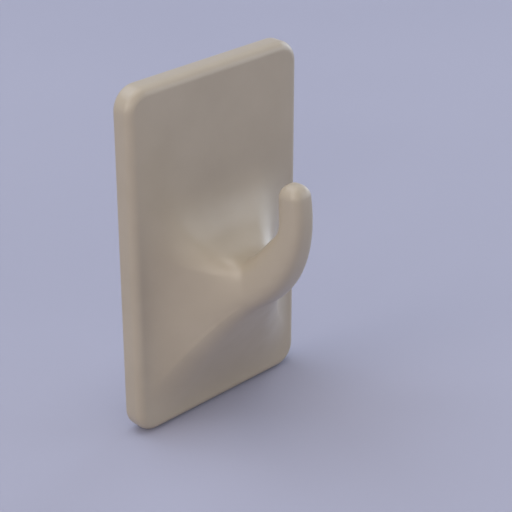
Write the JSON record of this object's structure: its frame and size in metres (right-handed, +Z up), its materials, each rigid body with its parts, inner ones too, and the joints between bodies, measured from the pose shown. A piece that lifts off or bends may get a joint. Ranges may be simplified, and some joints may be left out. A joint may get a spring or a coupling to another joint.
{
  "type": "towel hook",
  "caption": "Wall towel hook with a rounded rectangular plate that flares into an upturned prong and slides down over a hidden base held by a stretch-release foam strip.",
  "frame": {"origin": "middle of the adhesive face that meets the wall, which is also mid-height and mid-width of the plate", "axes": "+Z up the wall, +Y into the wall, -Y towards the room, +X to the right of someone who faces the wall"},
  "size_m": [0.054, 0.0359, 0.09],
  "materials": {
    "hook_plastic": "satin moulded plastic, warm taupe",
    "base_plastic": "plain moulded plastic, off-white",
    "strip_adhesive": "soft pressure-sensitive adhesive, pale cream",
    "strip_foam": "fine closed-cell foam, white",
    "tab_film": "thin smooth film, white"
  },
  "bodies": {
    "base": {"mounting_base": "base_plastic", "base_adhesive": "strip_adhesive", "strip_foam": "strip_foam", "wall_adhesive": "strip_adhesive", "pull_tab": "tab_film"},
    "hook": {"hook_shell": "hook_plastic"}
  },
  "joints": [
    {"name": "hook_lift", "type": "slide", "parent": "base", "child": "hook", "axis": [0, 0, 1], "range_m": [0, 0.069]}
  ]
}
